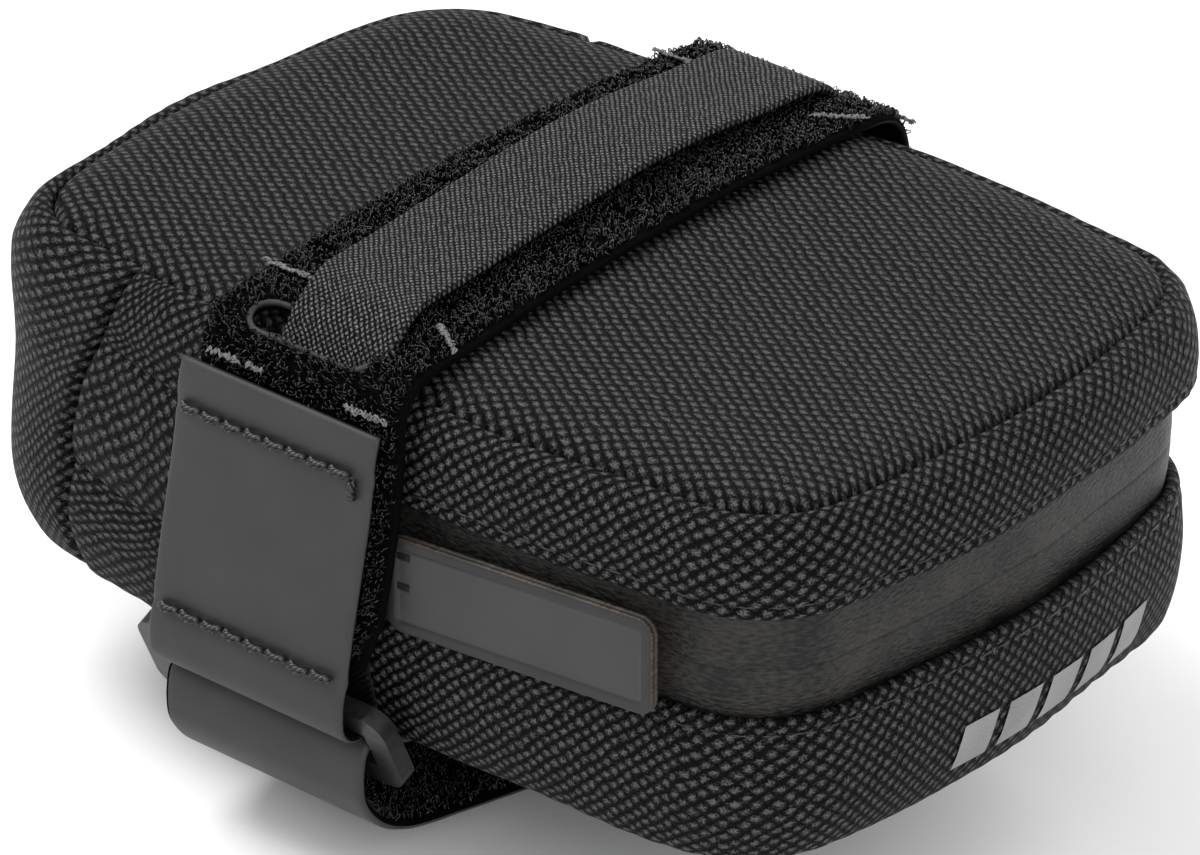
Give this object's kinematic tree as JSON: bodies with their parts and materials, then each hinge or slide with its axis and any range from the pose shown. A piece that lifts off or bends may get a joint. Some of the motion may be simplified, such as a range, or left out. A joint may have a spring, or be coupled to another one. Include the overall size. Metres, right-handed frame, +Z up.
{
  "type": "bicycle saddle bag",
  "caption": "Small zipped saddle bag of woven fabric on a hook-and-loop strap with a wing loop for saddle rails and a rectangular ring.",
  "frame": {"origin": "under the middle of the bag, level with the lowest point of the hanging tail strap", "axes": "+X along the bag towards its rear mouth, +Y across it to the side away from the ring, +Z up"},
  "size_m": [0.1392, 0.1126, 0.0773],
  "materials": {
    "woven_fabric": "coarse basket-weave nylon",
    "zip_tape": "coated, finely embossed",
    "zip_coil": "nylon coil",
    "slider_metal": "black satin",
    "pull_rubber": "matte moulded",
    "loop_pile": "loop pile",
    "webbing": "woven webbing",
    "coated_fabric": "smooth matte coated",
    "ring_metal": "dark brushed",
    "foam": "closed-cell foam",
    "board": "stiffener sheet",
    "lining": "light plain weave",
    "binding_tape": "grosgrain",
    "dark_thread": "bonded thread",
    "light_thread": "bonded thread",
    "reflective_print": "printed reflective"
  },
  "bodies": {
    "bag": {"top_panel_front": "woven_fabric", "upper_gusset_near": "woven_fabric", "upper_gusset_far": "woven_fabric", "nose_panel": "woven_fabric", "lower_gusset": "woven_fabric", "bottom_panel": "woven_fabric", "bottom_board": "board", "top_foam_front": "foam", "lower_lining": "lining", "top_binding_front": "binding_tape", "bottom_binding": "binding_tape", "zip_tape_upper_ends": "zip_tape", "zip_tape_lower": "zip_tape", "zip_coil_lower": "zip_coil", "zip_end_stops": "slider_metal", "zip_end_tab_near": "woven_fabric", "zip_end_tab_far": "woven_fabric", "base_strap": "loop_pile", "wing_strap": "webbing", "side_panel": "coated_fabric", "under_strap": "coated_fabric", "loop_patch": "loop_pile", "side_stitching": "dark_thread", "bar_tacks": "light_thread", "reflective_mark": "reflective_print"},
    "mouth": {"top_panel_rear": "woven_fabric", "upper_gusset_rear": "woven_fabric", "top_foam_rear": "foam", "top_binding_rear": "binding_tape", "zip_tape_upper": "zip_tape", "zip_coil_upper": "zip_coil"},
    "slider": {"zip_slider": "slider_metal"},
    "pull": {"zip_pull_link": "slider_metal", "zip_pull_outer": "pull_rubber", "zip_pull_inner": "pull_rubber"},
    "tail": {"tail_strap": "coated_fabric", "hook_patch": "loop_pile"},
    "ring": {"ring": "ring_metal"}
  },
  "joints": [
    {"name": "mouth_open", "type": "hinge", "parent": "bag", "child": "mouth", "pos_m": [0.01014, 0.00171, 0.07075], "axis": [0, -1, 0], "range_deg": [0, 22]},
    {"name": "zip_slide", "type": "slide", "parent": "bag", "child": "slider", "axis": [0.9978, 0.0666, 0], "range_m": [0, 0.034]},
    {"name": "pull_swing", "type": "hinge", "parent": "slider", "child": "pull", "pos_m": [0.01074, -0.04949, 0.04735], "axis": [0, 0, -1], "range_deg": [0, 80]},
    {"name": "tail_peel", "type": "hinge", "parent": "bag", "child": "tail", "pos_m": [-0.00636, -0.05319, 0.01775], "axis": [-1, 0, 0], "range_deg": [0, 90]},
    {"name": "ring_swing", "type": "hinge", "parent": "bag", "child": "ring", "pos_m": [-0.00636, -0.05269, 0.02675], "axis": [1, 0, 0], "range_deg": [-3, 3]}
  ]
}
